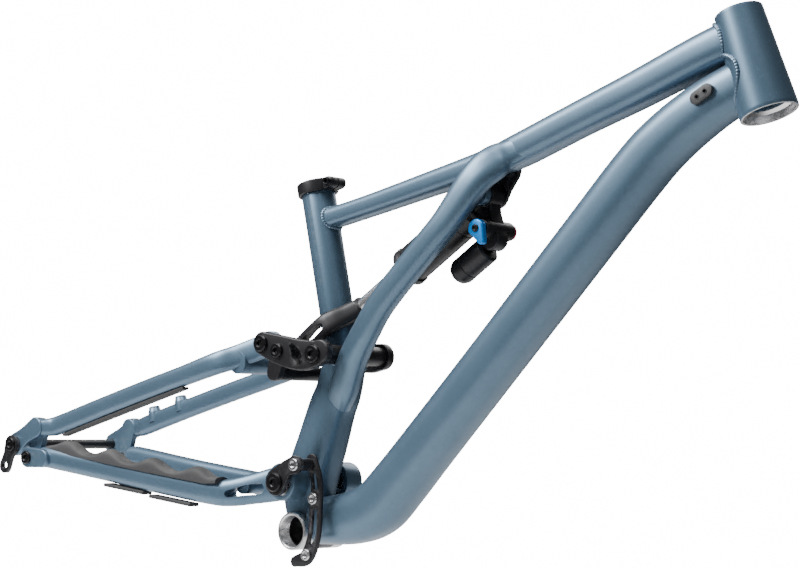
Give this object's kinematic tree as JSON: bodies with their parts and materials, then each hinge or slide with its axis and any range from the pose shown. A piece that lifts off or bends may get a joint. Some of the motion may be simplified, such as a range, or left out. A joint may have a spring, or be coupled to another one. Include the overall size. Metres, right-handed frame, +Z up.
{
  "type": "full suspension bicycle frame",
  "caption": "Full-suspension mountain bike frame with a four-bar rear end, rocker link, rear shock with side reservoir, sidearm strut and chain guide.",
  "frame": {"origin": "centre of the bottom bracket shell, on the crank axis", "axes": "+X forwards to the head tube, +Y to the rider left (drive side is -Y), +Z up"},
  "size_m": [0.9977, 0.1815, 0.6345],
  "materials": {
    "frame_paint": "satin metallic paint",
    "black_anodised": "satin black anodised",
    "raw_alloy": "machined",
    "black_rubber": "matte",
    "black_plastic": "matte",
    "steel_bolt": "satin",
    "blue_anodised": "satin",
    "red_anodised": "satin"
  },
  "bodies": {
    "front_triangle": {"head_tube": "frame_paint", "top_tube": "frame_paint", "down_tube": "frame_paint", "seat_tube_upper": "frame_paint", "seat_tube_lower": "frame_paint", "sidearm_strut": "frame_paint", "bb_shell": "raw_alloy", "shock_bracket": "black_anodised", "shock_mount_boss": "frame_paint", "shock_mount_bolt": "steel_bolt", "seat_clamp_band": "black_anodised", "seat_clamp_bolt": "steel_bolt", "cable_port_drive": "black_plastic", "cable_port_left": "black_plastic", "bottle_boss_lower": "steel_bolt", "bottle_boss_upper": "steel_bolt", "guide_backplate": "black_anodised", "guide_outer_plate": "black_anodised", "guide_bolt": "steel_bolt", "iscg_bolt_upper": "steel_bolt", "iscg_bolt_lower": "steel_bolt", "main_pivot_axle": "steel_bolt", "link_pivot_axle": "steel_bolt"},
    "chainstay": {"chainstay_drive": "frame_paint", "chainstay_left": "frame_paint", "chainstay_bridge": "frame_paint", "chainstay_protector": "black_rubber", "lower_guard_front": "black_rubber", "lower_guard_rear": "black_rubber", "pivot_bearing_drive": "raw_alloy", "pivot_bearing_left": "raw_alloy", "rear_pivot_bolt_drive": "steel_bolt", "rear_pivot_bolt_left": "steel_bolt"},
    "seatstay": {"seatstay_drive": "frame_paint", "seatstay_left": "frame_paint", "seatstay_bridge": "frame_paint", "seatstay_protector": "black_rubber", "seatstay_bearing_drive": "raw_alloy", "seatstay_bearing_left": "raw_alloy", "dropout_drive": "frame_paint", "dropout_left": "frame_paint", "rear_axle": "black_anodised", "derailleur_hanger": "black_anodised", "hanger_bolt": "steel_bolt"},
    "rocker": {"link_plate_drive": "black_anodised", "link_plate_left": "black_anodised", "link_crossbar": "black_anodised", "link_rear_bolt_drive": "steel_bolt", "link_rear_bolt_left": "steel_bolt", "link_yoke_bolt_drive": "steel_bolt", "link_yoke_bolt_left": "steel_bolt", "link_front_cap_drive": "steel_bolt", "link_front_cap_left": "steel_bolt"},
    "shock_body": {"shock_air_can": "black_anodised", "shock_head": "black_anodised", "shock_reservoir": "black_anodised"},
    "shock_shaft": {"shock_shaft": "raw_alloy", "shock_yoke": "black_anodised"},
    "compression_lever": {"compression_lever": "blue_anodised"},
    "rebound_dial": {"rebound_dial": "red_anodised"}
  },
  "joints": [
    {"name": "main_pivot", "type": "hinge", "parent": "front_triangle", "child": "chainstay", "pos_m": [-0.006, 0, 0.0544], "axis": [0, 1, 0], "range_deg": [0, 18], "stiffness_Nm_per_rad": 400, "springref_deg": -5.73},
    {"name": "rear_pivot", "type": "hinge", "parent": "chainstay", "child": "seatstay", "pos_m": [-0.408, 0, 0.0184], "axis": [0, 1, 0], "range_deg": [-10, 0.5]},
    {"name": "link_pivot", "type": "hinge", "parent": "front_triangle", "child": "rocker", "pos_m": [0.024, 0, 0.2004], "axis": [0, 1, 0], "range_deg": [0, 57]},
    {"name": "shock_eye_pivot", "type": "hinge", "parent": "front_triangle", "child": "shock_body", "pos_m": [0.1953, 0, 0.3908], "axis": [0, 1, 0], "range_deg": [0, 6]},
    {"name": "shock_stroke", "type": "slide", "parent": "shock_body", "child": "shock_shaft", "axis": [0.7586, 0, 0.6515], "range_m": [0, 0.045]},
    {"name": "compression_lever_turn", "type": "hinge", "parent": "shock_body", "child": "compression_lever", "pos_m": [0.206, 0, 0.355], "axis": [0, 1, 0], "range_deg": [-60, 0]},
    {"name": "rebound_dial_turn", "type": "hinge", "parent": "shock_body", "child": "rebound_dial", "pos_m": [0.206, 0, 0.355], "axis": [0, 1, 0], "range_deg": [-150, 150]}
  ],
  "couplings": [
    {"joint": "rear_pivot", "follows": "main_pivot", "ratio": -0.5},
    {"joint": "link_pivot", "follows": "main_pivot", "ratio": 3.1},
    {"joint": "shock_eye_pivot", "follows": "main_pivot", "ratio": 0.28},
    {"joint": "shock_stroke", "follows": "main_pivot", "m_per_rad": 0.135}
  ]
}
